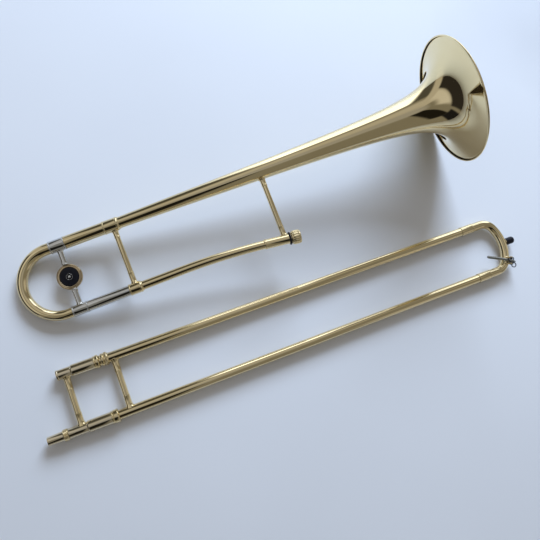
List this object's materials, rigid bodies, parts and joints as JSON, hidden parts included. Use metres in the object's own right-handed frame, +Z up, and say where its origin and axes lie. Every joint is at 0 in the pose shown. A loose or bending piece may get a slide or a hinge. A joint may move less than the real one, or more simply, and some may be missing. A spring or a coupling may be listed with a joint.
{
  "type": "slide trombone",
  "caption": "Tenor slide trombone lying in two halves: flared bell section with tuning slide, and closed hand slide with bow, slide lock and water key.",
  "frame": {"origin": "centre of the bounding box in plan, at the surface that both halves lie on", "axes": "+X along the hand slide from the mouthpiece end to the bow, +Z up, +Y towards the bell section"},
  "size_m": [0.8224, 0.3988, 0.2023],
  "materials": {
    "lacquer": "clear lacquered yellow brass, mirror polished",
    "nickel": "polished nickel silver",
    "chrome": "hard chrome plate, mirror polished",
    "steel": "grey spring steel, drawn",
    "rubber": "black rubber, satin",
    "enamel": "black enamel, gloss",
    "cork": "natural cork, matte"
  },
  "bodies": {
    "bell_section": {"bell_stem": "lacquer", "bell_flare": "lacquer", "bell_rim_wire": "steel", "bell_ferrule": "lacquer", "tuning_sleeve_bell": "lacquer", "tuning_sleeve_neck": "nickel", "neck_ferrule": "lacquer", "gooseneck": "lacquer", "slide_receiver": "lacquer", "receiver_o_ring": "rubber", "front_brace_tube": "lacquer", "front_brace_socket_bell": "lacquer", "front_brace_socket_neck": "lacquer", "rear_brace_tube": "lacquer", "rear_brace_socket_bell": "lacquer", "rear_brace_socket_neck": "lacquer"},
    "tuning_slide": {"tuning_crook": "lacquer", "crook_ferrule_bell": "nickel", "crook_ferrule_neck": "nickel", "tuning_leg_bell": "nickel", "tuning_leg_neck": "nickel", "crook_post_bell": "nickel", "crook_post_neck": "nickel", "medallion_ring": "lacquer", "medallion_insert": "enamel"},
    "bell_nut": {"coupling_nut": "lacquer"},
    "inner_slide": {"mouthpiece_receiver": "lacquer", "leadpipe": "lacquer", "slide_shank": "lacquer", "shank_collar": "lacquer", "inner_tube_upper": "chrome", "inner_tube_lower": "chrome", "cork_barrel_upper": "lacquer", "cork_barrel_lower": "lacquer", "barrel_ring_upper": "lacquer", "barrel_ring_lower": "lacquer", "barrel_cork_upper": "cork", "barrel_cork_lower": "cork", "inner_brace_tube": "lacquer", "inner_brace_socket_upper": "lacquer", "inner_brace_socket_lower": "lacquer"},
    "outer_slide": {"outer_tube_upper": "lacquer", "outer_tube_lower": "lacquer", "bow_ferrule_upper": "lacquer", "bow_ferrule_lower": "lacquer", "hand_brace_tube": "lacquer", "hand_brace_socket_upper": "lacquer", "hand_brace_socket_lower": "lacquer", "lock_ferrule": "lacquer", "bow": "lacquer", "bumper_base": "lacquer", "bumper_tip": "rubber", "water_key_nipple": "nickel", "water_key_saddle": "nickel", "water_key_pin": "steel", "water_key_spring": "steel"},
    "slide_lock": {"lock_ring": "lacquer"},
    "water_key": {"water_key_lever": "nickel", "water_key_pad": "cork"}
  },
  "joints": [
    {"name": "tuning_slide_pull", "type": "slide", "parent": "bell_section", "child": "tuning_slide", "axis": [-0.9914, -0.0282, -0.1276], "range_m": [0, 0.055]},
    {"name": "bell_nut_turn", "type": "hinge", "parent": "bell_section", "child": "bell_nut", "pos_m": [0.02699, -0.02687, 0.05911], "axis": [0.9878, -0.0935, 0.1246], "continuous": true},
    {"name": "slide_section_lift", "type": "slide", "parent": "bell_section", "child": "inner_slide", "axis": [0, 0, 1], "range_m": [0, 0.25]},
    {"name": "hand_slide", "type": "slide", "parent": "inner_slide", "child": "outer_slide", "axis": [1, 0, 0], "range_m": [0, 0.6]},
    {"name": "slide_lock_turn", "type": "hinge", "parent": "outer_slide", "child": "slide_lock", "pos_m": [-0.30135, -0.10407, 0.0103], "axis": [1, 0, 0], "range_deg": [0, 40]},
    {"name": "water_key_press", "type": "hinge", "parent": "outer_slide", "child": "water_key", "pos_m": [0.38544, -0.17911, 0.0213], "axis": [-0.4643, -0.8857, 0], "range_deg": [0, 12], "stiffness_Nm_per_rad": 0.12, "springref_deg": -34.38}
  ]
}
